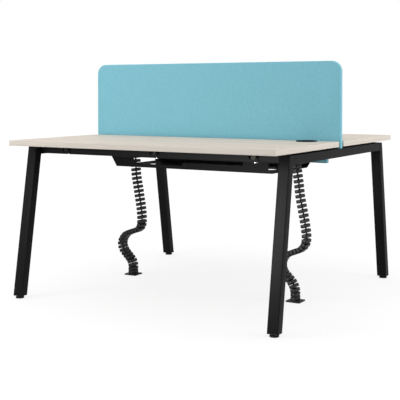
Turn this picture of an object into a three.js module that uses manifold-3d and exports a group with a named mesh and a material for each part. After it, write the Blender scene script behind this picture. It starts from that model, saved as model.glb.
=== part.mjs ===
// A benching desk for two: two worktops back to back on one steel frame, a fabric screen between them,
// a cable tray under the middle, two cable outlets and two jointed cable spines down to the floor.
// Millimetres, +Z up. The origin is the middle of the footprint, on the floor.
// +X runs along the desk to the right of the front user, who sits on the -Y side.
import * as THREE from "three";
import { mergeVertices } from "three/addons/utils/BufferGeometryUtils.js";
import Module from "manifold-3d";

// Worktops
const deskLength = 1400;
const topDepth = 684;
const centreGap = 57;
const topHeight = 758;
const topThickness = 25;
const edgeBand = 2;
const edgeCorner = 3;

// Steel end frames: splayed legs under a level beam
const tubeWidth = 50;
const beamHeight = 40;
const legDepth = 43.5;
const tubeWall = 2;
const tubeCorner = 3;
const frameGap = 8;
const legSplay = 0.159;
const footInset = 46;
const legBottom = 14.5;

// Rails between the end frames, and what bolts them on
const railDepth = 40;
const railHeight = 36.5;
const railInset = 182.5;
const railPlateLength = 100;
const railPlateThickness = 4;
const boltDiameter = 8;
const boltLength = 20;
const boltHeadHeight = 5.3;
const boltHeadAcross = 13;
const boltSpacing = 30;
const boltEdge = 18;

// Packers and brackets under the worktops
const packerWidth = 20;
const packerSetBack = 28;
const packerInset = 180;
const cleatLength = 50;
const cleatReach = 38;
const cleatSpacing = 505;
const cleatOffset = 7;
const cleatShort = 2;
const cleatWebSpread = 18;
const cleatWebInset = 3;
const cleatWebDrop = 33;
const bracketSheet = 3;

// Screen
const screenThickness = 25;
const screenTop = 1134;
const screenCorner = 50;
const screenBottom = 654;
const screenNotch = 68;
const screenBracketLength = 60;
const screenBracketDrop = 60;
const screenBracketSpread = 400;
const screenBracketLap = 46;

// Cable tray: a floor, two cut-out side walls and their hanging flanges
const traySheet = 2;
const trayDrop = 123;
const trayWidth = 400;
const trayLength = 880;
const trayFlare = 0.62;
const trayLip = 5;
const trayLowWall = 17;
const trayHighWall = 31;
const trayFlange = 30;
const trayHangerFrom = -335;
const trayHangerChamfer = [22, 25];
const trayStepAt = -48;
const trayStepRadius = 8;
const trayPlateFrom = 288;
const trayPlateTo = 420;
const trayHoleDiameter = 64;
const trayHoleSpread = 332;

// Levelling feet and the plugs that hold them
const footDiameter = 40;
const footPad = 7;
const footHub = 26;
const footEdge = 2;
const studDiameter = 10;
const studLength = 30;
const plugFlange = 2;
const plugLength = 28;

// Cable outlets in the worktops
const outletHole = 80;
const outletLip = 9.5;
const outletProud = 4;
const outletWall = 2.6;
const outletDepth = 22;
const outletLedge = 4;
const outletCap = 5;
const outletSlotWidth = 22;
const outletSlotDepth = 18;
const outletFromEnd = 138;
const outletFromEdge = 59.5;

// Cable spines: oblong links on a jointed core, from a plate under the worktop to a plate on the floor
const spineFromMiddle = 66;
const linkWidth = 63;
const linkDepth = 27;
const linkChamfer = 6;
const linkThickness = 17;
const linkEdge = 12;
const hangingLinks = 18;
const hangingPitch = 23.4;
const restingPitch = 19.2;
const lastLink = 10;
const spineCore = 9;
const spinePlate = [50, 64, 4];
const spineBoss = 30;
const spineBase = [73, 73, 6];
const spineBaseBevel = 2;
const leftFirstLink = 29.5;
const leftSpineRoute = [
  [-506, 716], [-506, 664], [-505, 633], [-503, 584], [-500, 542], [-493, 501], [-485, 461], [-479, 424],
  [-472, 387], [-466, 342], [-464, 304], [-466, 274], [-472.5, 260], [-482.5, 249.5], [-495, 243.5],
  [-510, 238.5], [-536, 229.5], [-562, 217], [-581, 196], [-590, 174], [-589, 151], [-579, 129],
  [-562, 110], [-543, 92], [-528, 73], [-521, 51], [-521, 25],
];
const rightFirstLink = 31.4;
const rightSpineRoute = [
  [498, 716], [498.5, 666], [503, 634], [509, 594], [515, 549], [521, 499], [529.5, 455], [539, 409],
  [547, 366], [552.5, 326], [553.5, 298], [547.5, 272], [528.5, 250], [501, 237], [473, 226],
  [447.5, 210.5], [431.5, 185], [429, 158], [437.5, 134], [454.5, 116], [473, 98], [488, 77], [496, 52],
  [497, 25],
];

// Clearances
const seat = 0.3;
const boltClearance = 0.5;
const runningClearance = 0.4;

// How finely arcs are stepped
const arcSteps = 2;
const roundSteps = 24;
const boreSteps = 12;
const hexSides = 6;

// Places that follow from the sizes above
const topUnder = topHeight - topThickness;
const frameTop = topUnder - frameGap;
const beamMiddle = frameTop - beamHeight / 2;
const beamX = deskLength / 2 - tubeWidth / 2;
const deskDepth = 2 * topDepth + centreGap;
const footY = deskDepth / 2 - footInset;
const legSection = legDepth * Math.hypot(1, legSplay);
const railY = deskDepth / 2 - railInset - railDepth / 2;
const railMiddle = frameTop - railHeight / 2;
const railPlateX = deskLength / 2 - tubeWidth - seat - railPlateThickness / 2;
const boltY = [0, 1].map((i) => railY + railDepth / 2 - railPlateLength + boltEdge + i * boltSpacing);
const topMiddleY = centreGap / 2 + topDepth / 2;
const outletX = deskLength / 2 - outletFromEnd;
const outletY = centreGap / 2 + outletFromEdge;
const trayFloor = topUnder - trayDrop;
const hangTop = topUnder - seat;

const colours = {
  wood: { color: 0xd6cdc4, roughness: 0.55, metalness: 0 },
  edging: { color: 0xd2c9c0, roughness: 0.5, metalness: 0 },
  steel: { color: 0x1e1e1e, roughness: 0.5, metalness: 0.3 },
  zinc: { color: 0xb9bcbf, roughness: 0.35, metalness: 0.9 },
  fabric: { color: 0x7dbbcb, roughness: 0.95, metalness: 0 },
  plastic: { color: 0x161616, roughness: 0.55, metalness: 0 },
};

const wasm = await Module();
wasm.setup();

function toSolid(geometry) {
  const bare = geometry.clone();
  bare.deleteAttribute("normal");
  bare.deleteAttribute("uv");
  const welded = mergeVertices(bare, 1e-4);
  const vertProperties = new Float32Array(welded.attributes.position.array);
  const triVerts = new Uint32Array(welded.index.array);
  return new wasm.Manifold(new wasm.Mesh({ numProp: 3, vertProperties, triVerts }));
}

function toGeometry(solid) {
  const mesh = solid.getMesh();
  const geometry = new THREE.BufferGeometry();
  geometry.setAttribute("position", new THREE.BufferAttribute(mesh.vertProperties, 3));
  geometry.setIndex(new THREE.BufferAttribute(mesh.triVerts, 1));
  geometry.computeVertexNormals();
  return geometry;
}

function cut(geometry, ...tools) {
  return toGeometry(tools.reduce((solid, tool) => solid.subtract(toSolid(tool)), toSolid(geometry)));
}

function join(geometry, ...more) {
  return toGeometry(more.reduce((solid, other) => solid.add(toSolid(other)), toSolid(geometry)));
}

function roundedRect(width, height, radius) {
  const shape = new THREE.Shape();
  const x = width / 2 - radius;
  const y = height / 2 - radius;
  shape.absarc(x, -y, radius, -Math.PI / 2, 0);
  shape.absarc(x, y, radius, 0, Math.PI / 2);
  shape.absarc(-x, y, radius, Math.PI / 2, Math.PI);
  shape.absarc(-x, -y, radius, Math.PI, 1.5 * Math.PI);
  return shape;
}

function outline(points) {
  return new THREE.Shape(points.map(([x, y]) => new THREE.Vector2(x, y)));
}

function ring(outer, inner) {
  outer.holes.push(inner);
  return outer;
}

function hollowRect(width, height) {
  const inner = roundedRect(width - 2 * tubeWall, height - 2 * tubeWall, tubeCorner - tubeWall);
  return ring(roundedRect(width, height, tubeCorner), inner);
}

// A shape drawn flat, raised from z = 0
function extrude(shape, depth, steps = arcSteps) {
  return new THREE.ExtrudeGeometry(shape, { depth, bevelEnabled: false, curveSegments: steps });
}

// A shape drawn in X and Z, extruded along Y and centred on y = 0
function upright(shape, thickness, steps = arcSteps) {
  return extrude(shape, thickness, steps).rotateX(Math.PI / 2).translate(0, thickness / 2, 0);
}

// A shape drawn in Y and Z, extruded along X and centred on x = 0
function crosswise(shape, length, steps = arcSteps) {
  return extrude(shape, length, steps)
    .rotateX(Math.PI / 2)
    .rotateZ(Math.PI / 2)
    .translate(-length / 2, 0, 0);
}

// A profile of radius and height, turned round the Z axis
function turned(profile, steps = roundSteps) {
  const points = profile.map(([r, z]) => new THREE.Vector2(r, z));
  return new THREE.LatheGeometry(points, steps).rotateX(Math.PI / 2);
}

function rod(diameter, length, steps = boreSteps) {
  return new THREE.CylinderGeometry(diameter / 2, diameter / 2, length, steps).rotateX(Math.PI / 2);
}

// Leans a piece along Y, the way a leg does that splays towards side
function lean(geometry, side) {
  return geometry.applyMatrix4(new THREE.Matrix4().makeShear(0, 0, 0, 0, 0, -side * legSplay));
}

const desk = new THREE.Group();

function piece(name, geometry, finish, place = [0, 0, 0], turn = 0) {
  const mesh = new THREE.Mesh(geometry, new THREE.MeshStandardMaterial(colours[finish]));
  mesh.name = name;
  mesh.position.set(...place);
  mesh.rotation.z = turn;
  desk.add(mesh);
}

const halfTurn = Math.PI;
const sides = [
  { name: "left", x: -1 },
  { name: "right", x: 1 },
];
const users = [
  { name: "front", y: -1, turn: 0 },
  { name: "rear", y: 1, turn: halfTurn },
];

// Worktops: a board with its cable hole, and the band round its edges.
// Each is drawn for the front user; the rear one is the same piece turned round.
function worktopBoard() {
  const inset = edgeBand + seat;
  const shape = outline([
    [-deskLength / 2 + inset, -topDepth / 2 + inset],
    [deskLength / 2 - inset, -topDepth / 2 + inset],
    [deskLength / 2 - inset, topDepth / 2 - inset],
    [-deskLength / 2 + inset, topDepth / 2 - inset],
  ]);
  const hole = new THREE.Path();
  hole.absarc(outletX, topMiddleY - outletY, outletHole / 2, 0, 2 * Math.PI);
  return extrude(ring(shape, hole), topThickness, roundSteps);
}

function worktopEdging() {
  const inner = outline([
    [-deskLength / 2 + edgeBand, -topDepth / 2 + edgeBand],
    [-deskLength / 2 + edgeBand, topDepth / 2 - edgeBand],
    [deskLength / 2 - edgeBand, topDepth / 2 - edgeBand],
    [deskLength / 2 - edgeBand, -topDepth / 2 + edgeBand],
  ]);
  return extrude(ring(roundedRect(deskLength, topDepth, edgeCorner), inner), topThickness);
}

for (const user of users) {
  const place = [0, user.y * topMiddleY, topUnder];
  piece(`${user.name}_worktop`, worktopBoard(), "wood", place, user.turn);
  piece(`${user.name}_worktop_edging`, worktopEdging(), "edging", place, user.turn);
}

// End frames: two hollow legs, closed at the top, and the beam that is fitted between them
function leg(side) {
  const height = frameTop - legBottom;
  const bore = roundedRect(tubeWidth - 2 * tubeWall, legSection - 2 * tubeWall, tubeCorner - tubeWall);
  const outer = extrude(roundedRect(tubeWidth, legSection, tubeCorner), height);
  const inner = extrude(bore, height).translate(0, 0, -tubeWall);
  return lean(cut(outer, inner).translate(0, 0, legBottom), side);
}

function legInside(z) {
  return footY - legSplay * z - legSection / 2;
}

function endBeam(side) {
  const beam = upright(hollowRect(tubeWidth, beamHeight), 2);
  const point = beam.attributes.position;
  for (let i = 0; i < point.count; i += 1) {
    point.setY(i, Math.sign(point.getY(i)) * (legInside(beamMiddle + point.getZ(i)) - seat));
  }
  const holes = [];
  for (const user of users) {
    for (const y of boltY) {
      const hole = rod(boltDiameter + 2 * boltClearance, 4 * tubeWall).rotateY(Math.PI / 2);
      holes.push(hole.translate(-side * tubeWidth / 2, user.y * y, railMiddle - beamMiddle));
    }
  }
  return cut(beam, ...holes);
}

for (const side of sides) {
  piece(`${side.name}_end_beam`, endBeam(side.x), "steel", [side.x * beamX, 0, beamMiddle]);
  for (const user of users) {
    const place = [side.x * beamX, user.y * footY, 0];
    piece(`${user.name}_${side.name}_leg`, leg(user.y), "steel", place);
  }
}

// Plugs in the legs, and the levelling feet that screw into them
function legPlug(side) {
  const fit = 2 * (tubeWall + seat);
  const body = extrude(roundedRect(tubeWidth - fit, legSection - fit, tubeCorner - tubeWall), plugLength);
  const flange = extrude(roundedRect(tubeWidth, legSection, tubeCorner), plugFlange);
  const bore = rod(studDiameter + 2 * runningClearance, 4 * plugLength);
  const plug = join(flange, body.translate(0, 0, plugFlange / 2));
  plug.translate(0, 0, legBottom - plugFlange - seat);
  return cut(lean(plug, side), bore);
}

function levellingFoot() {
  const hubTop = legBottom - plugFlange - 2 * seat;
  return turned([
    [0, 0],
    [footDiameter / 2 - footEdge, 0],
    [footDiameter / 2, footEdge],
    [footDiameter / 2, footPad],
    [footHub / 2, footPad + footEdge],
    [footHub / 2, hubTop],
    [studDiameter / 2, hubTop],
    [studDiameter / 2, hubTop + studLength],
    [0, hubTop + studLength],
  ]);
}

for (const user of users) {
  for (const side of sides) {
    const place = [side.x * beamX, user.y * footY, 0];
    piece(`${user.name}_${side.name}_leg_plug`, legPlug(user.y), "plastic", place);
    piece(`${user.name}_${side.name}_foot`, levellingFoot(), "plastic", place);
  }
}

// Rails, with a plate at each end bolted to the end beams
function rail() {
  const length = 2 * (railPlateX - railPlateThickness / 2 - seat);
  return crosswise(hollowRect(railDepth, railHeight), length);
}

function railPlate() {
  const shape = outline([
    [-railPlateLength / 2, -railHeight / 2],
    [railPlateLength / 2, -railHeight / 2],
    [railPlateLength / 2, railHeight / 2],
    [-railPlateLength / 2, railHeight / 2],
  ]);
  for (const y of boltY) {
    const hole = new THREE.Path();
    const along = y - railY - railDepth / 2 + railPlateLength / 2;
    hole.absarc(along, 0, boltDiameter / 2 + boltClearance, 0, 2 * Math.PI);
    shape.holes.push(hole);
  }
  return crosswise(shape, railPlateThickness, boreSteps / 2);
}

function bolt(side) {
  const overlap = 1;
  const shank = rod(boltDiameter, boltLength + overlap).translate(0, 0, (boltLength - overlap) / 2);
  const corners = boltHeadAcross / Math.cos(Math.PI / 6);
  const head = rod(corners, boltHeadHeight, hexSides).translate(0, 0, -boltHeadHeight / 2);
  return join(head, shank).rotateY(side * Math.PI / 2);
}

for (const user of users) {
  piece(`${user.name}_rail`, rail(), "steel", [0, user.y * railY, railMiddle]);
  for (const side of sides) {
    const label = `${user.name}_${side.name}`;
    const plateY = railY + railDepth / 2 - railPlateLength / 2;
    const plate = railPlate();
    if (user.y < 0) {
      plate.rotateZ(halfTurn);
    }
    piece(`${label}_rail_plate`, plate, "steel", [side.x * railPlateX, user.y * plateY, railMiddle]);
    boltY.forEach((y, i) => {
      const headX = side.x * (railPlateX - railPlateThickness / 2 - seat);
      piece(`${label}_rail_bolt_${i + 1}`, bolt(side.x), "zinc", [headX, user.y * y, railMiddle]);
    });
  }
}

// Packers on the end beams, and cleats on the rails, that carry the worktops
function packer() {
  const length = topDepth - 2 * packerInset;
  return extrude(roundedRect(packerWidth, length, packerWidth / 4), frameGap - 2 * seat);
}

function angle(length, reach, drop) {
  const shape = outline([
    [0, 0],
    [-reach, 0],
    [-reach, -bracketSheet],
    [-bracketSheet, -bracketSheet],
    [-bracketSheet, -drop],
    [0, -drop],
  ]);
  return crosswise(shape, length);
}

// A cleat is an angle with two webs across its corner
function cleat(drop) {
  const lap = bracketSheet / 2;
  const shape = outline([
    [-lap, -lap],
    [-cleatReach + cleatWebInset, -lap],
    [-lap, -cleatWebDrop],
  ]);
  const webs = sides.map((side) => crosswise(shape, bracketSheet).translate(side.x * cleatWebSpread, 0, 0));
  return join(angle(cleatLength, cleatReach, drop), ...webs);
}

for (const user of users) {
  for (const side of sides) {
    const across = deskLength / 2 - packerSetBack - packerWidth / 2;
    const place = [side.x * across, user.y * topMiddleY, frameTop + seat];
    piece(`${user.name}_${side.name}_packer`, packer(), "plastic", place);
  }
  const drop = frameGap + railHeight - cleatShort - seat;
  ["left", "middle", "right"].forEach((spot, i) => {
    const across = user.y * (railY + railDepth / 2 + seat);
    const place = [(i - 1) * cleatSpacing - user.y * cleatOffset, across, hangTop];
    piece(`${user.name}_${spot}_cleat`, cleat(drop), "steel", place, user.turn);
  });
}

// Screen: it stands on the end beams, and its lower part hangs between the worktops
function screenPanel() {
  const half = deskLength / 2;
  const tongue = half - screenNotch;
  const ends = frameTop + seat;
  const shape = new THREE.Shape();
  shape.moveTo(-half, ends);
  shape.lineTo(-tongue, ends);
  shape.lineTo(-tongue, screenBottom);
  shape.lineTo(tongue, screenBottom);
  shape.lineTo(tongue, ends);
  shape.lineTo(half, ends);
  shape.absarc(half - screenCorner, screenTop - screenCorner, screenCorner, 0, Math.PI / 2);
  shape.absarc(-half + screenCorner, screenTop - screenCorner, screenCorner, Math.PI / 2, Math.PI);
  return upright(shape, screenThickness, roundSteps / 4);
}

piece("screen", screenPanel(), "fabric");
for (const user of users) {
  const reach = (centreGap - screenThickness) / 2 - seat + screenBracketLap;
  for (const side of sides) {
    const place = [side.x * screenBracketSpread, user.y * (screenThickness / 2 + seat), hangTop];
    const bracket = angle(screenBracketLength, reach, screenBracketDrop);
    piece(`${user.name}_${side.name}_screen_bracket`, bracket, "steel", place, user.turn);
  }
}

// Cable tray: the walls hang from the worktops by their flanges and carry the floor between them
function trayWall() {
  const half = trayLength / 2;
  const low = trayFloor + trayLowWall;
  const high = trayFloor + trayHighWall;
  const flared = half + trayFlare * (hangTop - trayFloor);
  const shape = new THREE.Shape();
  shape.moveTo(-half, trayFloor);
  shape.lineTo(half, trayFloor);
  shape.lineTo(half, low);
  shape.lineTo(trayPlateTo, low);
  shape.lineTo(trayPlateTo, hangTop);
  shape.lineTo(trayPlateFrom, hangTop);
  shape.lineTo(trayPlateFrom, high);
  shape.absarc(trayStepAt + trayStepRadius, high - trayStepRadius, trayStepRadius, Math.PI / 2, Math.PI);
  shape.lineTo(trayStepAt, low);
  shape.lineTo(trayHangerFrom + trayHangerChamfer[0], low);
  shape.lineTo(trayHangerFrom, low + trayHangerChamfer[1]);
  shape.lineTo(trayHangerFrom, hangTop);
  shape.lineTo(-flared, hangTop);
  const flanges = [
    [-flared, trayHangerFrom],
    [trayPlateFrom, trayPlateTo],
  ].map(([from, to]) => {
    const flange = new THREE.BoxGeometry(to - from, trayFlange + traySheet, traySheet);
    return flange.translate((from + to) / 2, -trayFlange / 2, hangTop - traySheet / 2);
  });
  return join(upright(shape, traySheet), ...flanges);
}

function trayFloorPlate() {
  const width = trayWidth - 2 * traySheet - 2 * seat;
  const shape = outline([
    [-trayLength / 2, -width / 2],
    [trayLength / 2, -width / 2],
    [trayLength / 2, width / 2],
    [-trayLength / 2, width / 2],
  ]);
  for (const side of sides) {
    const hole = new THREE.Path();
    hole.absarc(side.x * trayHoleSpread, 0, trayHoleDiameter / 2, 0, 2 * Math.PI);
    shape.holes.push(hole);
  }
  const lips = sides.map((side) => {
    const lip = new THREE.BoxGeometry(traySheet, width, trayLip);
    return lip.translate(side.x * (trayLength - traySheet) / 2, 0, trayLip / 2);
  });
  return join(extrude(shape, traySheet, roundSteps), ...lips);
}

piece("tray_floor", trayFloorPlate(), "steel", [0, 0, trayFloor]);
for (const user of users) {
  const place = [0, user.y * (trayWidth - traySheet) / 2, 0];
  piece(`tray_${user.name}_wall`, trayWall(), "steel", place, user.turn);
}

// Cable outlets: a flanged sleeve in the worktop, and a slotted cap that turns on its ledge
const flangeRadius = outletHole / 2 + outletLip;
const sleeveRadius = outletHole / 2 - runningClearance;
const sleeveBore = sleeveRadius - outletWall;
const capTop = topHeight + seat + outletProud;
const capRadius = sleeveBore * Math.cos(Math.PI / roundSteps) - runningClearance;

function outletSleeve() {
  const under = topHeight + seat;
  const ledgeTop = capTop - outletCap - seat;
  const ledgeUnder = ledgeTop - outletLedge;
  const foot = topHeight - outletDepth;
  return turned([
    [sleeveBore, foot],
    [sleeveRadius, foot],
    [sleeveRadius, under],
    [flangeRadius, under],
    [flangeRadius, under + outletProud / 2],
    [flangeRadius - outletProud / 2, capTop],
    [sleeveBore, capTop],
    [sleeveBore, ledgeTop],
    [sleeveBore - outletLedge, ledgeTop],
    [sleeveBore - outletLedge, ledgeUnder],
    [sleeveBore, ledgeUnder],
    [sleeveBore, foot],
  ]);
}

function outletLid() {
  const half = outletSlotWidth / 2;
  const gape = Math.asin(half / capRadius);
  const slotEnd = capRadius - outletSlotDepth + half;
  const shape = new THREE.Shape();
  shape.absarc(0, 0, capRadius, Math.PI / 2 + gape, 2.5 * Math.PI - gape);
  shape.lineTo(half, slotEnd);
  shape.absarc(0, slotEnd, half, 0, Math.PI, true);
  return extrude(shape, outletCap, roundSteps / 2);
}

for (const user of users) {
  const middle = [-user.y * outletX, user.y * outletY];
  piece(`${user.name}_outlet_sleeve`, outletSleeve(), "plastic", [...middle, 0], user.turn);
  piece(`${user.name}_outlet_cap`, outletLid(), "plastic", [...middle, capTop - outletCap], user.turn);
}

// Cable spines: rigid oblong links threaded on a slim core, each link square to the route and ridged
// along its middle, so that the thin sides clear each other in a bend
function linkOutline() {
  const x = linkDepth / 2;
  const y = linkWidth / 2;
  const c = linkChamfer;
  return [
    [x, 0], [x, y - c], [x - c, y], [0, y], [-x + c, y], [-x, y - c],
    [-x, 0], [-x, -y + c], [-x + c, -y], [0, -y], [x - c, -y], [x, -y + c],
  ];
}

function coreOutline() {
  return linkOutline().map(([x, y]) => [x, y].map((v) => (v / Math.hypot(x, y)) * (spineCore / 2)));
}

function halfLink(x) {
  const thinning = (linkThickness - linkEdge) * Math.abs(x / (linkDepth / 2));
  return (linkThickness - thinning) / 2;
}

// The upper links hang at full stretch and the lower ones rest closer together
function linkPlaces(length, firstLink) {
  const hung = firstLink + (hangingLinks - 1) * hangingPitch;
  const resting = Math.round((length - lastLink - hung) / restingPitch);
  const step = (length - lastLink - hung) / resting;
  const upper = Array.from({ length: hangingLinks }, (_, i) => firstLink + i * hangingPitch);
  const lower = Array.from({ length: resting }, (_, i) => hung + (i + 1) * step);
  return [...upper, ...lower];
}

function spine(route, firstLink) {
  const curve = new THREE.CatmullRomCurve3(route.map(([x, z]) => new THREE.Vector3(x, 0, z)));
  curve.arcLengthDivisions = 800;
  const length = curve.getLength();
  const places = linkPlaces(length, firstLink);
  const across = new THREE.Vector3(0, 1, 0);
  const points = [];
  const addRing = (along, side, section, half = () => linkThickness / 2) => {
    const middle = curve.getPointAt(along / length);
    const ahead = curve.getTangentAt(along / length);
    const out = new THREE.Vector3().crossVectors(across, ahead);
    for (const [x, y] of section) {
      const point = middle.clone().addScaledVector(ahead, side * half(x));
      points.push(point.addScaledVector(out, x).addScaledVector(across, y));
    }
  };
  addRing(0, 0, coreOutline());
  for (const along of places) {
    addRing(along, -1, coreOutline());
    addRing(along, -1, linkOutline(), halfLink);
    addRing(along, 1, linkOutline(), halfLink);
    addRing(along, 1, coreOutline());
  }
  addRing(length, 0, coreOutline());
  const links = places.length;
  const count = linkOutline().length;
  return { geometry: ringSkin(points, count), length, links, gap: leastLinkGap(points, count, links) };
}

// The least distance from the end face of one link to the end face of the next
function leastLinkGap(points, count, links) {
  let least = Infinity;
  for (let i = 0; i + 1 < links; i += 1) {
    const end = count * (4 * i + 3);
    const next = end + 3 * count;
    for (let k = 0; k < count; k += 1) {
      least = Math.min(least, points[end + k].distanceTo(points[next + k]));
    }
  }
  return least;
}

// Joins rings of equal count into one closed skin, with a flat face at each end
function ringSkin(points, count) {
  const rings = points.length / count;
  const index = [];
  for (let r = 0; r + 1 < rings; r += 1) {
    for (let i = 0; i < count; i += 1) {
      const a = r * count + i;
      const b = r * count + ((i + 1) % count);
      index.push(a, b, b + count, a, b + count, a + count);
    }
  }
  const last = (rings - 1) * count;
  for (let i = 1; i + 1 < count; i += 1) {
    index.push(0, i + 1, i, last, last + i, last + i + 1);
  }
  const geometry = new THREE.BufferGeometry().setFromPoints(points);
  geometry.setIndex(index);
  geometry.computeVertexNormals();
  return geometry;
}

function spineMount(spineTop) {
  const [width, depth, thickness] = spinePlate;
  const plate = extrude(roundedRect(width, depth, tubeCorner), thickness);
  plate.translate(0, 0, hangTop - thickness);
  const bossFrom = spineTop + seat;
  const bossTo = hangTop - thickness / 2;
  const boss = rod(spineBoss, bossTo - bossFrom).translate(0, 0, (bossFrom + bossTo) / 2);
  return join(plate, boss);
}

function spineFoot(spineEnd) {
  const [width, depth, height] = spineBase;
  const plate = extrude(roundedRect(width, depth, tubeCorner), height - spineBaseBevel);
  const bevel = extrude(roundedRect(width, depth, tubeCorner), spineBaseBevel);
  const edge = bevel.attributes.position;
  const shrink = 1 - (2 * spineBaseBevel) / width;
  for (let i = 0; i < edge.count; i += 1) {
    const scale = edge.getZ(i) > 0 ? shrink : 1;
    edge.setXYZ(i, edge.getX(i) * scale, edge.getY(i) * scale, edge.getZ(i) + height - spineBaseBevel);
  }
  const socket = extrude(outline(linkOutline()), spineEnd - seat - height / 2).translate(0, 0, height / 2);
  return join(plate, bevel, socket);
}

const spines = [
  { name: "left", y: spineFromMiddle, route: leftSpineRoute, first: leftFirstLink },
  { name: "right", y: -spineFromMiddle, route: rightSpineRoute, first: rightFirstLink },
];
for (const { name, y, route, first } of spines) {
  const made = spine(route, first);
  const top = route[0];
  const end = route[route.length - 1];
  piece(`${name}_cable_spine`, made.geometry, "plastic", [0, y, 0]);
  piece(`${name}_spine_mount`, spineMount(top[1]), "plastic", [top[0], y, 0]);
  piece(`${name}_spine_base`, spineFoot(end[1]), "plastic", [end[0], y, 0]);
  const words = `${made.length.toFixed(0)} mm, ${made.links} links, least gap ${made.gap.toFixed(1)} mm`;
  console.log(`${name} cable spine: ${words}`);
}

export default desk;
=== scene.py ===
import math
import bmesh
import bpy
from mathutils import Matrix, Vector


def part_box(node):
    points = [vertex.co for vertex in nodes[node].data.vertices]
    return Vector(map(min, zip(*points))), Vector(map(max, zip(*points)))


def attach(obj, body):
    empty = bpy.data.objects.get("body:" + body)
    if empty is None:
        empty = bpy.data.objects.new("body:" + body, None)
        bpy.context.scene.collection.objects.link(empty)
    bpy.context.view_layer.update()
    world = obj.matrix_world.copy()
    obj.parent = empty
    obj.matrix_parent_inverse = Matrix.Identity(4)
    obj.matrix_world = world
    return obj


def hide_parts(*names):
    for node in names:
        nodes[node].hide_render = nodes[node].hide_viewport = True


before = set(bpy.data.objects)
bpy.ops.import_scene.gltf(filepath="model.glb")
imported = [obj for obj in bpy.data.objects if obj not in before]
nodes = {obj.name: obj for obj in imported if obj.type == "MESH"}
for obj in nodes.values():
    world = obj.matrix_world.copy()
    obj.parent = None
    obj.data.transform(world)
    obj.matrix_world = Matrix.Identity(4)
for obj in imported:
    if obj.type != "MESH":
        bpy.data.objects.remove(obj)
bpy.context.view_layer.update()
scene = bpy.context.scene
mm = 0.001
sideNames = {"left": -1, "right": 1}
userNames = {"front": -1, "rear": 1}


# Camera, at the photograph's view

camera = {
    "place": (2.23721, -3.92293, 0.99029),  # metres
    "yaw": 30.392,  # degrees, turned left from looking along +Y
    "tilt": 1.0,  # degrees, looking down
    "lens": 80.545,  # mm on a 36 mm sensor
    "shiftY": -0.2322,
}


def addCamera():
    data = bpy.data.cameras.new("studioCamera")
    data.sensor_width = 36
    data.lens = camera["lens"]
    data.shift_y = camera["shiftY"]
    data.clip_end = 200
    holder = bpy.data.objects.new("studioCamera", data)
    holder.location = camera["place"]
    holder.rotation_euler = (math.radians(90 - camera["tilt"]), 0, math.radians(camera["yaw"]))
    scene.collection.objects.link(holder)
    scene.camera = holder


addCamera()
print("camera placed")


# Small helpers for materials

def linear(hexColour, alpha=1.0):
    channels = [int(hexColour[i:i + 2], 16) / 255 for i in (1, 3, 5)]
    return tuple(c / 12.92 if c <= 0.04045 else ((c + 0.055) / 1.055) ** 2.4 for c in channels) + (alpha,)


def addNode(tree, kind, inputs=None, stops=None, **settings):
    node = tree.nodes.new(kind)
    for name, value in settings.items():
        setattr(node, name, value)
    for key, value in (inputs or {}).items():
        if isinstance(value, bpy.types.NodeSocket):
            tree.links.new(value, node.inputs[key])
        else:
            node.inputs[key].default_value = value
    if stops:
        ramp = node.color_ramp.elements
        while len(ramp) < len(stops):
            ramp.new(0.5)
        for element, (place, colour) in zip(ramp, stops):
            element.position = place
            element.color = colour
    return node


def newMaterial(name):
    material = bpy.data.materials.new(name)
    material.use_nodes = True
    tree = material.node_tree
    tree.nodes.clear()
    return material, tree


def finishMaterial(tree, surface):
    addNode(tree, "ShaderNodeOutputMaterial", {"Surface": surface})


def perMillimetre(*sizes):
    return tuple(1 / (size * mm) for size in sizes)


# Materials

def makeMelamine():
    # melamine paper with a pale greige oak print, pressed on chipboard: satin, long soft streaks, short pores
    material, tree = newMaterial("greige oak melamine")
    place = addNode(tree, "ShaderNodeTexCoord").outputs["Object"]
    long = addNode(tree, "ShaderNodeMapping", {"Vector": place, "Scale": perMillimetre(700, 26, 26)})
    streak = addNode(tree, "ShaderNodeTexNoise",
                     {"Vector": long.outputs[0], "Scale": 1, "Detail": 5, "Roughness": 0.62, "Distortion": 0.5})
    short = addNode(tree, "ShaderNodeMapping", {"Vector": place, "Scale": perMillimetre(70, 2.4, 2.4)})
    pore = addNode(tree, "ShaderNodeTexNoise", {"Vector": short.outputs[0], "Scale": 1, "Detail": 3})
    printed = addNode(tree, "ShaderNodeValToRGB", {"Fac": streak.outputs["Fac"]}, stops=[
        (0.3, linear("#C9BDB0")), (0.5, linear("#D5C9BD")), (0.7, linear("#DED2C7"))])
    ticks = addNode(tree, "ShaderNodeValToRGB", {"Fac": pore.outputs["Fac"]}, stops=[
        (0.34, linear("#B9AEA2")), (0.46, linear("#FFFFFF")), (1.0, linear("#FFFFFF"))])
    colour = addNode(tree, "ShaderNodeMix", {0: 0.35, 6: printed.outputs[0], 7: ticks.outputs[0]},
                     data_type="RGBA", blend_type="MULTIPLY")
    rough = addNode(tree, "ShaderNodeMapRange", {"Value": streak.outputs["Fac"], "To Min": 0.46, "To Max": 0.58})
    bump = addNode(tree, "ShaderNodeBump", {"Height": pore.outputs["Fac"], "Strength": 0.12, "Distance": 0.1 * mm})
    surface = addNode(tree, "ShaderNodeBsdfPrincipled",
                      {"Base Color": colour.outputs[2], "Roughness": rough.outputs[0], "Normal": bump.outputs[0],
                       "IOR": 1.5, "Specular IOR Level": 0.1})
    finishMaterial(tree, surface.outputs[0])
    return material


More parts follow.
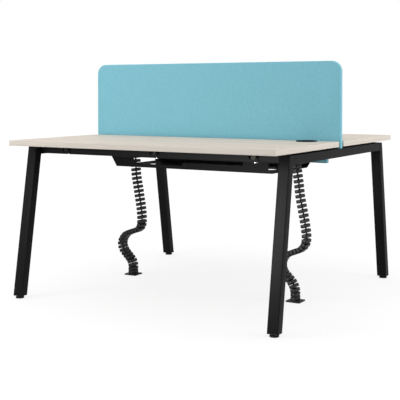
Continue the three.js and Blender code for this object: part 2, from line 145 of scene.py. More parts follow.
def makeEdging():
    # extruded ABS edge band, nearly plain, with faint printed streaks; it is set a shade lighter than the board as
    # painted light, so that the worktop's upright edges, which the lamps light less than its top, render lighter
    material, tree = newMaterial("greige ABS edge band")
    place = addNode(tree, "ShaderNodeTexCoord").outputs["Object"]
    long = addNode(tree, "ShaderNodeMapping", {"Vector": place, "Scale": perMillimetre(300, 300, 5)})
    streak = addNode(tree, "ShaderNodeTexNoise", {"Vector": long.outputs[0], "Scale": 1, "Detail": 3})
    # painted light: this ramp is a shade lighter than the board's, to brighten the worktop's upright edges
    colour = addNode(tree, "ShaderNodeValToRGB", {"Fac": streak.outputs["Fac"]}, stops=[
        (0.3, linear("#D3CABF")), (0.7, linear("#DCD3C9"))])
    rough = addNode(tree, "ShaderNodeMapRange", {"Value": streak.outputs["Fac"], "To Min": 0.4, "To Max": 0.52})
    surface = addNode(tree, "ShaderNodeBsdfPrincipled",
                      {"Base Color": colour.outputs[0], "Roughness": rough.outputs[0], "IOR": 1.52,
                       "Specular IOR Level": 0.08})
    finishMaterial(tree, surface.outputs[0])
    return material


def makePowderCoat():
    # polyester powder baked on steel tube: near black, satin, with a fine pebbled skin
    material, tree = newMaterial("black powder coat")
    place = addNode(tree, "ShaderNodeTexCoord").outputs["Object"]
    # the pebble is under 1 mm on the tube; it is drawn at 3 mm so that it shows
    grit = addNode(tree, "ShaderNodeTexNoise", {"Vector": place, "Scale": perMillimetre(3)[0], "Detail": 3})
    cloud = addNode(tree, "ShaderNodeTexNoise", {"Vector": place, "Scale": perMillimetre(90)[0], "Detail": 2})
    colour = addNode(tree, "ShaderNodeValToRGB", {"Fac": cloud.outputs["Fac"]}, stops=[
        (0.3, linear("#111112")), (0.7, linear("#151516"))])
    rough = addNode(tree, "ShaderNodeMapRange", {"Value": grit.outputs["Fac"], "To Min": 0.42, "To Max": 0.56})
    bump = addNode(tree, "ShaderNodeBump", {"Height": grit.outputs["Fac"], "Strength": 0.18, "Distance": 0.25 * mm})
    surface = addNode(tree, "ShaderNodeBsdfPrincipled",
                      {"Base Color": colour.outputs[0], "Roughness": rough.outputs[0],
                       "Normal": bump.outputs[0], "IOR": 1.5, "Specular IOR Level": 0.05})
    finishMaterial(tree, surface.outputs[0])
    return material


def makeFastenerSteel(name, dark, light):
    # steel fasteners, zinc plated or blackened: smooth metal with a slight haze in its shine
    material, tree = newMaterial(name)
    place = addNode(tree, "ShaderNodeTexCoord").outputs["Object"]
    haze = addNode(tree, "ShaderNodeTexNoise", {"Vector": place, "Scale": perMillimetre(4)[0], "Detail": 3})
    colour = addNode(tree, "ShaderNodeValToRGB", {"Fac": haze.outputs["Fac"]}, stops=[
        (0.3, linear(dark)), (0.7, linear(light))])
    rough = addNode(tree, "ShaderNodeMapRange", {"Value": haze.outputs["Fac"], "To Min": 0.25, "To Max": 0.4})
    surface = addNode(tree, "ShaderNodeBsdfPrincipled",
                      {"Base Color": colour.outputs[0], "Roughness": rough.outputs[0], "Metallic": 1.0})
    finishMaterial(tree, surface.outputs[0])
    return material


def makeCloth():
    # woven polyester screen cloth over a board: matt, a soft mottle of mixed yarns, a little fibre sheen
    material, tree = newMaterial("woven screen cloth")
    place = addNode(tree, "ShaderNodeTexCoord").outputs["Object"]
    # the yarns are about 1 mm apart; they are drawn at 2.5 mm so that they show
    yarn = perMillimetre(2.5)[0]
    warp = addNode(tree, "ShaderNodeTexWave",
                   {"Vector": place, "Scale": yarn * math.pi / 10, "Distortion": 1.2, "Detail": 1},
                   wave_type="BANDS", bands_direction="X")
    weft = addNode(tree, "ShaderNodeTexWave",
                   {"Vector": place, "Scale": yarn * math.pi / 10, "Distortion": 1.2, "Detail": 1},
                   wave_type="BANDS", bands_direction="Z")
    weave = addNode(tree, "ShaderNodeMath",
                    {0: warp.outputs["Fac"], 1: weft.outputs["Fac"]}, operation="MULTIPLY")
    melange = addNode(tree, "ShaderNodeTexNoise",
                      {"Vector": place, "Scale": perMillimetre(9)[0], "Detail": 6, "Roughness": 0.75})
    colour = addNode(tree, "ShaderNodeValToRGB", {"Fac": melange.outputs["Fac"]}, stops=[
        (0.3, linear("#79BACB")), (0.5, linear("#80C1D1")), (0.7, linear("#87C7D7"))])
    bump = addNode(tree, "ShaderNodeBump", {"Height": weave.outputs[0], "Strength": 0.35, "Distance": 0.4 * mm})
    rough = addNode(tree, "ShaderNodeMapRange", {"Value": melange.outputs["Fac"], "To Min": 0.85, "To Max": 1.0})
    surface = addNode(tree, "ShaderNodeBsdfPrincipled",
                      {"Base Color": colour.outputs[0], "Roughness": rough.outputs[0], "Normal": bump.outputs[0],
                       "Specular IOR Level": 0.2, "Sheen Weight": 0.15, "Sheen Roughness": 0.5})
    finishMaterial(tree, surface.outputs[0])
    return material


def makeNylon(name, dark, light, roughLow, roughHigh, gloss):
    # moulded black nylon: spark-textured tool, so a matt skin with a faint broken gloss
    material, tree = newMaterial(name)
    place = addNode(tree, "ShaderNodeTexCoord").outputs["Object"]
    # the tool texture is about 0.1 mm; it is drawn at 1.2 mm so that it shows
    texture = addNode(tree, "ShaderNodeTexNoise", {"Vector": place, "Scale": perMillimetre(1.2)[0], "Detail": 2})
    flow = addNode(tree, "ShaderNodeTexNoise", {"Vector": place, "Scale": perMillimetre(25)[0], "Detail": 2})
    colour = addNode(tree, "ShaderNodeValToRGB", {"Fac": flow.outputs["Fac"]}, stops=[
        (0.3, linear(dark)), (0.7, linear(light))])
    rough = addNode(tree, "ShaderNodeMapRange",
                    {"Value": texture.outputs["Fac"], "To Min": roughLow, "To Max": roughHigh})
    bump = addNode(tree, "ShaderNodeBump", {"Height": texture.outputs["Fac"], "Strength": 0.12, "Distance": 0.1 * mm})
    surface = addNode(tree, "ShaderNodeBsdfPrincipled",
                      {"Base Color": colour.outputs[0], "Roughness": rough.outputs[0],
                       "Normal": bump.outputs[0], "IOR": 1.53, "Specular IOR Level": gloss})
    finishMaterial(tree, surface.outputs[0])
    return material


melamine = makeMelamine()
edging = makeEdging()
powderCoat = makePowderCoat()
zinc = makeFastenerSteel("bright zinc plate", "#AEB1B3", "#C6C8C8")
blackSteel = makeFastenerSteel("blackened bolt steel", "#161413", "#1C1A18")
cloth = makeCloth()
spineNylon = makeNylon("black spine nylon", "#131314", "#1A1A1B", 0.42, 0.55, 0.14)
fittingNylon = makeNylon("black fitting nylon", "#0F0F10", "#151516", 0.45, 0.6, 0.14)
# the outlets are seen almost edge on, where any gloss turns white, so theirs is a deeper spark texture
outletNylon = makeNylon("deep-textured outlet nylon", "#0C0C0D", "#111112", 0.8, 0.95, 0.03)
print("materials made")


# Small helpers for meshes

def addPiece(name, bm, material, body="desk", sharp=35):
    bmesh.ops.recalc_face_normals(bm, faces=bm.faces[:])
    mesh = bpy.data.meshes.new(name)
    bm.to_mesh(mesh)
    bm.free()
    mesh.materials.append(material)
    for polygon in mesh.polygons:
        polygon.use_smooth = True
    mesh.set_sharp_from_angle(angle=math.radians(sharp))
    piece = bpy.data.objects.new(name, mesh)
    scene.collection.objects.link(piece)
    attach(piece, body)
    return piece


def arc(middle, radius, start, end, steps):
    turns = [math.radians(start + (end - start) * i / steps) for i in range(steps + 1)]
    return [(middle[0] + radius * math.cos(t), middle[1] + radius * math.sin(t)) for t in turns]


def roundedRect(width, height, radius, steps=6):
    x = width / 2 - radius
    y = height / 2 - radius
    return (arc((x, -y), radius, -90, 0, steps) + arc((x, y), radius, 0, 90, steps)
            + arc((-x, y), radius, 90, 180, steps) + arc((-x, -y), radius, 180, 270, steps))


def inset(outline, depth):
    # moves each corner of a closed outline inwards, square to its two sides
    moved = []
    count = len(outline)
    for i, point in enumerate(outline):
        here = Vector(point)
        before = (here - Vector(outline[i - 1])).normalized()
        after = (Vector(outline[(i + 1) % count]) - here).normalized()
        normal = Vector((-before.y - after.y, before.x + after.x))
        reach = normal.dot(Vector((-before.y, before.x)))
        moved.append(tuple(here + normal * (depth / max(reach, 0.3))))
    return moved


def loft(bm, rings, cap=True, closed=False):
    made = [[bm.verts.new(point) for point in ring] for ring in rings]
    pairs = list(zip(made, made[1:])) + ([(made[-1], made[0])] if closed else [])
    for low, high in pairs:
        for i in range(len(low)):
            j = (i + 1) % len(low)
            bm.faces.new((low[i], low[j], high[j], high[i]))
    if cap and not closed:
        bm.faces.new(made[0][::-1])
        bm.faces.new(made[-1])
    return made


def lathe(bm, profile, middle, steps=48):
    # profile of (radius, height); a radius of 0 at either end is a pole
    rings = []
    for radius, height in profile:
        if radius == 0:
            rings.append([bm.verts.new((middle[0], middle[1], middle[2] + height))])
            continue
        turns = [2 * math.pi * i / steps for i in range(steps)]
        rings.append([bm.verts.new((middle[0] + radius * math.cos(t), middle[1] + radius * math.sin(t),
                                    middle[2] + height)) for t in turns])
    for low, high in zip(rings, rings[1:]):
        for i in range(steps):
            j = (i + 1) % steps
            corners = [low[i % len(low)], low[j % len(low)], high[j % len(high)], high[i % len(high)]]
            bm.faces.new(list(dict.fromkeys(corners)))


def softPrism(bm, outline, low, high, edge, placePoint, edgeSteps=2):
    # an outline raised from low to high, its long edges rounded by edge
    rings = []
    for i in range(edgeSteps + 1):
        turn = math.pi / 2 * i / edgeSteps
        rings.append((edge * (1 - math.sin(turn)), low + edge * (1 - math.cos(turn))))
    for i in range(edgeSteps + 1):
        turn = math.pi / 2 * i / edgeSteps
        rings.append((edge * (1 - math.cos(turn)), high - edge * (1 - math.sin(turn))))
    loft(bm, [[placePoint(u, v, w) for u, v in inset(outline, depth)] for depth, w in rings])


def boxOf(node):
    low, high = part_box(node)
    return Vector(low), Vector(high)


def middleOf(node):
    low, high = boxOf(node)
    return (low + high) / 2


# Cable spines: oblong nylon links on ball joints, from the mount under a worktop to a plate on the floor

spine = {
    "linkWidth": 63, "linkDepth": 27, "linkCorner": 6, "linkThickness": 17, "linkSide": 14.5, "edge": 1.2,
    "window": (9.5, 24.5, 8.5), "slit": 2.6, "neck": 3.6, "collar": 6,
    "firstLink": {"left": 29.5, "right": 31.4}, "lastLink": 10,
    "hangingLinks": 18, "hangingPitch": 23.4, "restingPitch": 19.2,
    "routes": {
        "left": [
            (-506, 716), (-506, 664), (-505, 633), (-503, 584), (-500, 542), (-493, 501), (-485, 461),
            (-479, 424), (-472, 387), (-466, 342), (-464, 304), (-466, 274), (-472.5, 260), (-482.5, 249.5),
            (-495, 243.5), (-510, 238.5), (-536, 229.5), (-562, 217), (-581, 196), (-590, 174), (-589, 151),
            (-579, 129), (-562, 110), (-543, 92), (-528, 73), (-521, 51), (-521, 25)],
        "right": [
            (498, 716), (498.5, 666), (503, 634), (509, 594), (515, 549), (521, 499), (529.5, 455),
            (539, 409), (547, 366), (552.5, 326), (553.5, 298), (547.5, 272), (528.5, 250), (501, 237),
            (473, 226), (447.5, 210.5), (431.5, 185), (429, 158), (437.5, 134), (454.5, 116), (473, 98),
            (488, 77), (496, 52), (497, 25)],
    },
}


def routeCurve(points, stepsPerSpan=24):
    # the centripetal curve through the route's points, in short steps
    ends = [points[0] * 2 - points[1]] + points + [points[-1] * 2 - points[-2]]
    line = []
    for a, b, c, d in zip(ends, ends[1:], ends[2:], ends[3:]):
        ta = 0.0
        tb = ta + math.sqrt((b - a).length)
        tc = tb + math.sqrt((c - b).length)
        td = tc + math.sqrt((d - c).length)
        for i in range(stepsPerSpan):
            t = tb + (tc - tb) * i / stepsPerSpan
            ab = a.lerp(b, (t - ta) / (tb - ta))
            bc = b.lerp(c, (t - tb) / (tc - tb))
            cd = c.lerp(d, (t - tc) / (td - tc))
            abc = ab.lerp(bc, (t - ta) / (tc - ta))
            bcd = bc.lerp(cd, (t - tb) / (td - tb))
            line.append(abc.lerp(bcd, (t - tb) / (tc - tb)))
    return line + [points[-1].copy()]


def along(line, distance):
    # the point at a distance along a line of short steps, and the way ahead there
    for a, b in zip(line, line[1:]):
        step = (b - a).length
        if distance <= step:
            return a.lerp(b, distance / step), (b - a).normalized()
        distance -= step
    return line[-1].copy(), (line[-1] - line[-2]).normalized()


def linkPlaces(name, length):
    # the upper links hang at full stretch and the lower ones rest closer together, in metres
    first = spine["firstLink"][name] * mm
    upper = [first + i * spine["hangingPitch"] * mm for i in range(spine["hangingLinks"])]
    rest = length - spine["lastLink"] * mm - upper[-1]
    resting = round(rest / (spine["restingPitch"] * mm))
    return upper + [upper[-1] + (i + 1) * rest / resting for i in range(resting)]


def linkOutline(windows=True):
    # one link seen along the spine: two cable windows, each open to the outside by a slit
    x = spine["linkDepth"] / 2
    y = spine["linkWidth"] / 2
    near, far, deep = spine["window"]
    slit = spine["slit"] / 2
    corner = spine["linkCorner"]
    points = arc((x - corner, -y + corner), corner, -90, 0, 5)
    if windows:
        for low, high in ((-far, -near), (near, far)):
            gap = (low + high) / 2
            points += [(x, gap - slit), (deep, gap - slit), (deep, low), (-deep, low),
                       (-deep, high), (deep, high), (deep, gap + slit), (x, gap + slit)]
    points += arc((x - corner, y - corner), corner, 0, 90, 5)
    points += arc((-x + corner, y - corner), corner, 90, 180, 5)
    points += arc((-x + corner, -y + corner), corner, 180, 270, 5)
    return [(u * mm, v * mm) for u, v in points]


def linkShape():
    # one link, ridged along its middle so that its thinner sides clear each other in a bend
    thick = spine["linkThickness"] * mm
    slim = 1 - spine["linkSide"] / spine["linkThickness"]
    bm = bmesh.new()
    softPrism(bm, linkOutline(), -thick / 2, thick / 2, spine["edge"] * mm, lambda u, v, w: (u, v, w))
    bmesh.ops.bisect_plane(bm, geom=bm.verts[:] + bm.edges[:] + bm.faces[:], plane_co=(0, 0, 0),
                           plane_no=(1, 0, 0))
    for vert in bm.verts:
        vert.co.z *= 1 - slim * abs(vert.co.x) / (spine["linkDepth"] / 2 * mm)
    mesh = bpy.data.meshes.new("spineLink")
    bm.to_mesh(mesh)
    bm.free()
    return mesh


def addSpine(name):
    node = f"{name}_cable_spine"
    y = middleOf(node).y
    line = routeCurve([Vector((x * mm, y, z * mm)) for x, z in spine["routes"][name]])
    length = sum((b - a).length for a, b in zip(line, line[1:]))
    reach = spine["linkThickness"] * 0.4 * mm
    across = Vector((0, 1, 0))
    link = linkShape()
    bm = bmesh.new()
    ends = [along(line, 0)]
    for place in linkPlaces(name, length):
        middle, ahead = along(line, place)
        turn = Matrix((across.cross(ahead), across, ahead)).transposed().to_4x4()
        made = len(bm.verts)
        bm.from_mesh(link)
        bmesh.ops.transform(bm, matrix=Matrix.Translation(middle) @ turn, verts=bm.verts[made:])
        ends += [(middle - ahead * reach, ahead), (middle + ahead * reach, ahead)]
    bpy.data.meshes.remove(link)
    ends.append(along(line, length))
    # ball joints: a collar on each link narrows to the neck between links
    for (a, aheadA), (b, aheadB) in zip(ends[0::2], ends[1::2]):
        rings = []
        for share, radius in ((0, "collar"), (0.25, "collar"), (0.36, "neck"), (0.64, "neck"),
                              (0.75, "collar"), (1, "collar")):
            ahead = aheadA.lerp(aheadB, share).normalized()
            out = across.cross(ahead)
            middle = a.lerp(b, share)
            turns = [2 * math.pi * k / 16 for k in range(16)]
            rings.append([middle + (out * math.cos(t) + across * math.sin(t)) * spine[radius] * mm for t in turns])
        loft(bm, rings)
    piece = addPiece(f"{name}CableSpine", bm, spineNylon)
    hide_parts(node)
    return piece, line, length


spinePlate = {"corner": 6, "edge": 1.5, "baseHeight": 6, "mountHeight": 4, "boss": 15}


def addSpineBase(name):
    node = f"{name}_spine_base"
    low, high = boxOf(node)
    middle = (low + high) / 2
    bm = bmesh.new()

    def place(u, v, w):
        return (middle.x + u, middle.y + v, w)

    plate = roundedRect(high.x - low.x, high.y - low.y, spinePlate["corner"] * mm)
    plateTop = low.z + spinePlate["baseHeight"] * mm
    softPrism(bm, plate, low.z, plateTop, spinePlate["edge"] * mm, place)
    # the socket that the last link sits on
    softPrism(bm, linkOutline(windows=False), plateTop - 2 * mm, high.z, 1 * mm, place)
    piece = addPiece(f"{name}SpineBase", bm, fittingNylon)
    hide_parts(node)
    return piece


def addSpineMount(name):
    node = f"{name}_spine_mount"
    low, high = boxOf(node)
    middle = (low + high) / 2
    plateLow = high.z - spinePlate["mountHeight"] * mm
    bm = bmesh.new()
    plate = roundedRect(high.x - low.x, high.y - low.y, spinePlate["corner"] * mm)
    softPrism(bm, plate, plateLow, high.z, 1 * mm, lambda u, v, w: (middle.x + u, middle.y + v, w))
    boss = spinePlate["boss"] * mm
    drop = low.z - plateLow
    lathe(bm, [(0, drop), (boss - 1 * mm, drop), (boss, drop + 1 * mm), (boss, -3 * mm), (boss + 2 * mm, 0.5 * mm),
               (0, 0.5 * mm)], (middle.x, middle.y, plateLow))
    piece = addPiece(f"{name}SpineMount", bm, fittingNylon)
    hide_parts(node)


for name in sideNames:
    spinePiece, spineLine, spineLength = addSpine(name)
    spineBase = addSpineBase(name)
    addSpineMount(name)
    print(f"{name} cable spine, {spineLength:.3f} m")


# Screen: cloth drawn tight over a board, with soft edges

screenPanel = {"corner": 50, "notch": 68, "edge": 4.5, "inCorner": 2}


def addScreen():
    low, high = boxOf("screen")
    middle = (low + high) / 2
    half = (high.x - low.x) / 2
    rest = boxOf("left_end_beam")[1].z + 0.3 * mm
    tongue = half - screenPanel["notch"] * mm
    corner = screenPanel["corner"] * mm
    small = screenPanel["inCorner"] * mm
    outline = [(-half, rest)]
    outline += [(-tongue - small, rest), (-tongue, rest - small)]
    outline += arc((-tongue + small, low.z + small), small, 180, 270, 3)
    outline += arc((tongue - small, low.z + small), small, 270, 360, 3)
    outline += [(tongue, rest - small), (tongue + small, rest), (half, rest)]
    outline += arc((half - corner, high.z - corner), corner, 0, 90, 16)
    outline += arc((-half + corner, high.z - corner), corner, 90, 180, 16)
    bm = bmesh.new()
    softPrism(bm, outline, low.y, high.y, screenPanel["edge"] * mm,
              lambda u, v, w: (u, w, v), edgeSteps=5)
    piece = addPiece("screenPanel", bm, cloth, sharp=60)
    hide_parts("screen")


addScreen()
print("screen made")


# Worktop edging: a rounded band pressed on the board's four edges

edgeBand = {"corner": 3, "thickness": 2.3, "arris": 1.3}


def addEdging(user):
    node = f"{user}_worktop_edging"
    low, high = boxOf(node)
    middle = (low + high) / 2
    width, depth, height = high - low
    arris, thick = edgeBand["arris"] * mm, edgeBand["thickness"] * mm
    section = [(thick, 0)]
    section += [(arris - arris * math.sin(t), arris - arris * math.cos(t))
                for t in (math.pi / 2 * i / 4 for i in range(5))]
    section += [(arris - arris * math.cos(t), height - arris + arris * math.sin(t))
                for t in (math.pi / 2 * i / 4 for i in range(5))]
    section += [(thick, height)]
    rings = []
    for depthIn, rise in section:
        radius = max(edgeBand["corner"] * mm - depthIn, 0.2 * mm)
        outline = roundedRect(width - 2 * depthIn, depth - 2 * depthIn, radius)
        rings.append([(middle.x + u, middle.y + v, low.z + rise) for u, v in outline])
    bm = bmesh.new()
    loft(bm, rings, closed=True)
    piece = addPiece(f"{user}WorktopEdging", bm, edging)
    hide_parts(node)


for user in userNames:
    nodes[f"{user}_worktop"].data.materials.clear()
    nodes[f"{user}_worktop"].data.materials.append(melamine)
    addEdging(user)
print("worktops made")


# Steel tube frame

tube = {"corner": 3, "splay": 0.159}


def addLeg(user, side):
    node = f"{user}_{side}_leg"
    low, high = boxOf(node)
    middle = (low + high) / 2
    outward = userNames[user]
    height = high.z - low.z
    section = (high.y - low.y) - tube["splay"] * height
    footY = outward * max(abs(low.y), abs(high.y)) - outward * section / 2
    outline = roundedRect(high.x - low.x, section, tube["corner"] * mm)
    bm = bmesh.new()

    def place(u, v, w):
        return (middle.x + u, footY - outward * tube["splay"] * (w - low.z) + v, w)

    softPrism(bm, outline, low.z, high.z, 0.5 * mm, place)
    piece = addPiece(f"{user}{side.capitalize()}Leg", bm, powderCoat)
    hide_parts(node)


def addBeam(side):
    node = f"{side}_end_beam"
    low, high = boxOf(node)
    middle = (low + high) / 2
    width, height = high.x - low.x, high.z - low.z
    outline = roundedRect(width, height, tube["corner"] * mm)
    bm = bmesh.new()
    rings = []
    for end in (-1, 1):
        rings.append([(middle.x + u, end * (high.y - tube["splay"] * (v + height / 2)), middle.z + v)
                      for u, v in outline])
    loft(bm, rings)
    piece = addPiece(f"{side}EndBeam", bm, powderCoat)
    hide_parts(node)


def addRail(user):
    node = f"{user}_rail"
    low, high = boxOf(node)
    middle = (low + high) / 2
    outline = roundedRect(high.y - low.y, high.z - low.z, tube["corner"] * mm)
    bm = bmesh.new()
    loft(bm, [[(x, middle.y + u, middle.z + v) for u, v in outline] for x in (low.x, high.x)])
    piece = addPiece(f"{user}Rail", bm, powderCoat)
    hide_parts(node)


for side in sideNames:
    addBeam(side)
    for user in userNames:
        addLeg(user, side)
for user in userNames:
    addRail(user)
print("tube frame made")


# Levelling feet: a moulded pad and a fluted hub on a threaded stud

foot = {"edge": 1.0, "padHeight": 7, "hub": 12.9, "hubTop": 11.8, "flutes": 16, "fluteDepth": 0.8, "stud": 4.9}


def addFoot(user, side):
    node = f"{user}_{side}_foot"
    low, high = boxOf(node)
    middle = (low + high) / 2
    radius = (high.x - low.x) / 2
    edge, padTop, hub = (foot[key] * mm for key in ("edge", "padHeight", "hub"))
    bm = bmesh.new()
    pad = [(0, 0)] + [(radius - edge + edge * math.sin(t), edge - edge * math.cos(t)) for t in (0, 0.5, 1.0, 1.57)]
    pad += [(radius, padTop - 1.4 * mm), (radius - 0.6 * mm, padTop - 0.4 * mm), (radius - 2 * mm, padTop)]
    pad += [(hub + 0.5 * mm, padTop + 1.8 * mm), (0, padTop + 1.8 * mm)]
    lathe(bm, pad, (middle.x, middle.y, low.z))
    steps = foot["flutes"] * 4
    outline = []
    for i in range(steps):
        turn = 2 * math.pi * i / steps
        reach = hub - foot["fluteDepth"] * mm * (1 - math.cos(turn * foot["flutes"])) / 2
        outline.append((reach * math.cos(turn), reach * math.sin(turn)))
    softPrism(bm, outline, low.z + padTop + 1 * mm, low.z + foot["hubTop"] * mm, 0.5 * mm,
              lambda u, v, w: (middle.x + u, middle.y + v, w))
    stud, studFrom, studTo = foot["stud"] * mm, (foot["hubTop"] - 1) * mm, high.z - low.z
    lathe(bm, [(0, studFrom), (stud, studFrom), (stud, studTo), (0, studTo)], (middle.x, middle.y, low.z), steps=20)
    piece = addPiece(f"{user}{side.capitalize()}Foot", bm, fittingNylon, body=f"{user}_{side}_foot",
                     sharp=30)
    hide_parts(node)


for user in userNames:
    for side in sideNames:
        addFoot(user, side)
print("levelling feet made")


# Cable outlets: a flanged sleeve, and a slotted cap that turns in it

outlet = {"slotWidth": 22, "slotDepth": 18, "bore": 37, "wall": 39.6, "proud": 4, "ledge": 4}


def addOutletSleeve(user):
    node = f"{user}_outlet_sleeve"
    low, high = boxOf(node)
    middle = (low + high) / 2
    flange = (high.x - low.x) / 2
    bore, wall, step = (outlet[key] * mm for key in ("bore", "wall", "ledge"))
    top = high.z
    under = top - outlet["proud"] * mm
    ledge = boxOf(f"{user}_outlet_cap")[0].z - 0.3 * mm
    bm = bmesh.new()
    profile = [(bore, low.z), (wall, low.z), (wall, under), (flange - 0.6 * mm, under), (flange, under + 0.6 * mm),
               (flange - 0.3 * mm, under + 1.8 * mm), (flange - 1.4 * mm, top - 0.9 * mm),
               (flange - 3 * mm, top - 0.2 * mm), (flange - 4.5 * mm, top), (bore + 0.6 * mm, top),
               (bore, top - 0.6 * mm), (bore, ledge), (bore - step, ledge), (bore - step, ledge - step),
               (bore, ledge - step), (bore, low.z)]
    lathe(bm, profile, (middle.x, middle.y, 0), steps=72)
    bmesh.ops.remove_doubles(bm, verts=bm.verts[:], dist=1e-6)
    piece = addPiece(f"{user}OutletSleeve", bm, outletNylon, sharp=40)
    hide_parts(node)


def addOutletCap(user):
    node = f"{user}_outlet_cap"
    low, high = boxOf(node)
    middle = middleOf(f"{user}_outlet_sleeve")
    radius = (high.x - low.x) / 2
    half = outlet["slotWidth"] / 2 * mm
    gape = math.degrees(math.asin(half / radius))
    slotEnd = radius - outlet["slotDepth"] * mm + half
    outline = arc((0, 0), radius, 90 + gape, 450 - gape, 56)
    outline += arc((0, slotEnd), half, 0, -180, 12)
    turn = 1 if user == "front" else -1
    bm = bmesh.new()
    softPrism(bm, outline, low.z, high.z, 0.7 * mm,
              lambda u, v, w: (middle.x + turn * u, middle.y + turn * v, w))
    piece = addPiece(f"{user}OutletCap", bm, outletNylon, body=f"{user}_outlet_cap")
    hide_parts(node)


for user in userNames:
    addOutletSleeve(user)
    addOutletCap(user)
print("cable outlets made")


# Rail bolts: hexagon heads with a chamfered face, each on a washer

railBolt = {"across": 13, "head": 3.7, "washer": 8.5, "washerHeight": 1.6, "shank": 4, "steps": 36}
cleatBolt = {"head": 2.2, "washer": 10, "sunk": 2, "sheet": 3}


def hexagonReach(turn, across):
    # from the middle of a hexagon out to its side
    return across / 2 / math.cos((turn + math.pi / 6) % (math.pi / 3) - math.pi / 6)


def addBolt(bm, place, heading, length, head, washer):
    # from the outer face of its head, along its shank; place and length in metres
    heading = Vector(heading)
    aside = heading.orthogonal().normalized()
    other = heading.cross(aside)
    across, shank = railBolt["across"], railBolt["shank"]
    seat = head + railBolt["washerHeight"]
    turns = [2 * math.pi * i / railBolt["steps"] for i in range(railBolt["steps"])]
    hexagon = [hexagonReach(t, across) for t in turns]
    rings = [(0, [across * 0.44] * len(turns)), (0.5, [min(r, across * 0.53) for r in hexagon]), (1.1, hexagon),
             (head, hexagon), (head, [washer] * len(turns)), (seat, [washer] * len(turns)),
             (seat, [shank] * len(turns)), (length / mm, [shank] * len(turns))]
    loft(bm, [[Vector(place) + (heading * w + (aside * math.cos(t) + other * math.sin(t)) * r) * mm
               for r, t in zip(reach, turns)] for w, reach in rings])


def addRailBolt(node, side):
    low, high = boxOf(node)
    middle = (low + high) / 2
    outward = sideNames[side]
    start = low.x if outward > 0 else high.x
    bm = bmesh.new()
    addBolt(bm, (start, middle.y, middle.z), (outward, 0, 0), high.x - low.x, railBolt["head"], railBolt["washer"])
    words = node.split("_")
    piece = addPiece(words[0] + "".join(word.capitalize() for word in words[1:]), bm, zinc)
    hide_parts(node)


def addCleatBolts():
    # blackened ones through each cleat into the front of the rail, bright ones up into the rail from below
    front, below = bmesh.new(), bmesh.new()
    head, washer, sunk = (cleatBolt[part] for part in ("head", "washer", "sunk"))
    seat = (head + railBolt["washerHeight"]) * mm
    length = seat + sunk * mm
    for user, outward in userNames.items():
        rail = boxOf(f"{user}_rail")
        for name in ("left", "middle", "right"):
            low, high = boxOf(f"{user}_{name}_cleat")
            middle = (low + high) / 2
            face = (high.y if outward < 0 else low.y) + outward * cleatBolt["sheet"] * mm
            addBolt(front, (middle.x, face + outward * seat, middle.z), (0, -outward, 0), length, head, washer)
            addBolt(below, (middle.x, (rail[0].y + rail[1].y) / 2, rail[0].z - seat), (0, 0, 1), length, head,
                    washer)
    addPiece("cleatBolts", front, blackSteel)
    addPiece("railCleatBolts", below, zinc)


for user in userNames:
    for side in sideNames:
        for i in (1, 2):
            addRailBolt(f"{user}_{side}_rail_bolt_{i}", side)
addCleatBolts()
print("rail bolts made")


# Screws up into the worktops and into the screen: pan heads with a six-lobed recess

screwHead = {"rings": [(4.6, 0, 0), (4.6, 0.5, 0), (4.3, 1.3, 0), (3.5, 2.0, 0), (2.3, 2.3, 0), (1.9, 2.2, 0.14),
                       (1.7, 1.1, 0.14)], "steps": 36}


def addScrewHead(bm, place, out):
    out = Vector(out)
    across = out.orthogonal().normalized()
    other = out.cross(across)
    turns = [2 * math.pi * i / screwHead["steps"] for i in range(screwHead["steps"])]
    rings = []
    for reach, rise, lobe in screwHead["rings"]:
        rings.append([Vector(place) + out * rise * mm
                      + (across * math.cos(t) + other * math.sin(t)) * reach * (1 + lobe * math.cos(6 * t)) * mm
                      for t in turns])
    loft(bm, rings)


def addScrews():
    bm = bmesh.new()
    down = (0, 0, -1)
    for name in nodes:
        low, high = boxOf(name)
        middle = (low + high) / 2
        outward = 1 if middle.y > 0 else -1
        outer = outward * max(abs(low.y), abs(high.y))
        inner = outward * min(abs(low.y), abs(high.y))
        if name.endswith("_cleat"):
            for x in (-9, 9):
                addScrewHead(bm, (middle.x + x * mm, outer - outward * 14 * mm, high.z - 3 * mm), down)
        if name.endswith("_screen_bracket"):
            for x in (-17, 17):
                addScrewHead(bm, (middle.x + x * mm, outer - outward * 20 * mm, high.z - 3 * mm), down)
                addScrewHead(bm, (middle.x + x * mm, inner + outward * 3 * mm, low.z + 14 * mm), (0, outward, 0))
        if name.startswith("tray_") and name.endswith("_wall"):
            for x in (-470, -370, 320, 384):
                addScrewHead(bm, (-outward * x * mm, outer - outward * 15 * mm, high.z - 2 * mm), down)
        if name.endswith("_spine_mount"):
            for x, y in ((-18, -25), (18, -25), (18, 25), (-18, 25)):
                addScrewHead(bm, (middle.x + x * mm, middle.y + y * mm, high.z - spinePlate["mountHeight"] * mm), down)
    addPiece("panHeadScrews", bm, zinc)


addScrews()
print("screws made")


# Welds: a rippled bead under each beam, where it meets a leg

weld = {"radius": 2.4, "ripple": 0.3, "pitch": 2.5, "clear": 4}


def addWelds():
    bm = bmesh.new()
    for side in sideNames:
        low, high = boxOf(f"{side}_end_beam")
        clear = weld["clear"] * mm
        count = round((high.x - low.x - 2 * clear) / (weld["pitch"] * mm))
        for end in (-1, 1):
            rings = []
            for i in range(count + 1):
                swell = 0.3 if i in (0, count) else 1
                reach = (weld["radius"] + weld["ripple"] * math.cos(math.pi * i)) * mm * swell
                x = low.x + clear + (high.x - low.x - 2 * clear) * i / count
                turns = [2 * math.pi * k / 12 for k in range(12)]
                rings.append([(x, end * high.y + reach * math.cos(t), low.z + reach * math.sin(t)) for t in turns])
            loft(bm, rings)
    addPiece("beamWelds", bm, powderCoat)


addWelds()
print("welds made")


# The rest of the frame keeps its construction shape and gets its finish

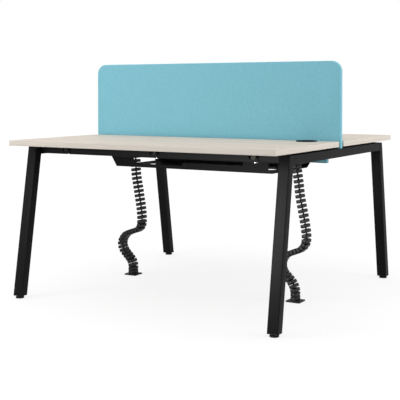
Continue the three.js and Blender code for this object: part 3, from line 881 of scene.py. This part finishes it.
for name, node in nodes.items():
    if name.endswith(("_rail_plate", "_cleat", "_screen_bracket")) or name.startswith("tray_"):
        node.data.materials.clear()
        node.data.materials.append(powderCoat)
    if name.endswith(("_packer", "_leg_plug")):
        node.data.materials.clear()
        node.data.materials.append(fittingNylon)


# Studio: a white floor that keeps a faint shadow, a white surround and soft boxes

studio = {
    "floorSize": 60, "floorShadow": 0.22, "shadowFade": (1.3, 2.6), "surround": 0.69,
    "key": {"place": (-2.1, -3.0, 1.2), "aim": (0, 0, 0.7), "size": (1.5, 1.5), "power": 35, "spread": 180},
    "side": {"place": (4.0, 0.4, 1.4), "aim": (0.7, 0, 0.7), "size": (2.0, 2.0), "power": 57, "spread": 180},
    "over": {"place": (-0.8, -0.4, 4.2), "aim": (0, 0, 0.7), "size": (4.0, 4.0), "power": 60, "spread": 180},
    # a tall card that shows only as the soft gloss on the front of the frame's right half
    "card": {"place": (-0.22, -2.5, 0.86), "aim": (0.675, -0.62, 0.64), "size": (0.45, 1.7), "power": 118, "spread": 180},
}


def seenWhite(tree):
    path = addNode(tree, "ShaderNodeLightPath")
    glossy = addNode(tree, "ShaderNodeMath", {0: path.outputs["Is Camera Ray"], 1: path.outputs["Is Glossy Ray"]},
                     operation="MAXIMUM")
    return addNode(tree, "ShaderNodeMath", {0: glossy.outputs[0], 1: path.outputs["Is Transmission Ray"]},
                   operation="MAXIMUM").outputs[0]


def addFloor():
    half = studio["floorSize"] / 2
    mesh = bpy.data.meshes.new("studioFloor")
    corners = [(-half, -half), (half, -half), (half, half), (-half, half)]
    mesh.from_pydata([(x, y, -0.0003) for x, y in corners], [], [(0, 1, 2, 3)])
    material, tree = newMaterial("white studio floor")
    # seen straight on it is white with a share of the shadow; what it throws back at the desk is a plain grey
    paint = addNode(tree, "ShaderNodeBsdfDiffuse", {"Color": linear("#FAFAFA")})
    bounce = addNode(tree, "ShaderNodeBsdfDiffuse", {"Color": linear("#BDBDBD")})
    glow = addNode(tree, "ShaderNodeEmission", {"Color": (1, 1, 1, 1), "Strength": 1.03})
    place = addNode(tree, "ShaderNodeTexCoord").outputs["Object"]
    reach = addNode(tree, "ShaderNodeVectorMath", {0: place}, operation="LENGTH")
    near, far = studio["shadowFade"]
    share = addNode(tree, "ShaderNodeMapRange", {"Value": reach.outputs["Value"], "From Min": near, "From Max": far,
                                                 "To Min": 1 - studio["floorShadow"], "To Max": 1.0})
    shown = addNode(tree, "ShaderNodeMixShader", {0: share.outputs[0], 1: paint.outputs[0], 2: glow.outputs[0]})
    mixed = addNode(tree, "ShaderNodeMixShader", {0: seenWhite(tree), 1: bounce.outputs[0], 2: shown.outputs[0]})
    finishMaterial(tree, mixed.outputs[0])
    mesh.materials.append(material)
    floor = bpy.data.objects.new("studioFloor", mesh)
    scene.collection.objects.link(floor)


def addSurround():
    world = bpy.data.worlds.new("studioSurround")
    world.use_nodes = True
    tree = world.node_tree
    tree.nodes.clear()
    light = addNode(tree, "ShaderNodeBackground", {"Color": (1, 1, 1, 1), "Strength": studio["surround"]})
    white = addNode(tree, "ShaderNodeBackground", {"Color": (1, 1, 1, 1), "Strength": 1.0})
    mixed = addNode(tree, "ShaderNodeMixShader", {0: seenWhite(tree), 1: light.outputs[0], 2: white.outputs[0]})
    addNode(tree, "ShaderNodeOutputWorld", {"Surface": mixed.outputs[0]})
    scene.world = world


def addLamp(name):
    facts = studio[name]
    data = bpy.data.lights.new(name + "Lamp", "AREA")
    data.shape = "RECTANGLE"
    data.size, data.size_y = facts["size"]
    data.energy = facts["power"]
    data.spread = math.radians(facts["spread"])
    lamp = bpy.data.objects.new(name + "Lamp", data)
    lamp.location = facts["place"]
    lamp.rotation_euler = (Vector(facts["aim"]) - Vector(facts["place"])).to_track_quat("-Z", "Y").to_euler()
    lamp.visible_camera = False
    lamp.visible_diffuse = name != "card"
    scene.collection.objects.link(lamp)


addFloor()
addSurround()
for name in ("key", "side", "over", "card"):
    addLamp(name)
scene.view_settings.view_transform = "Standard"
print("studio lit")
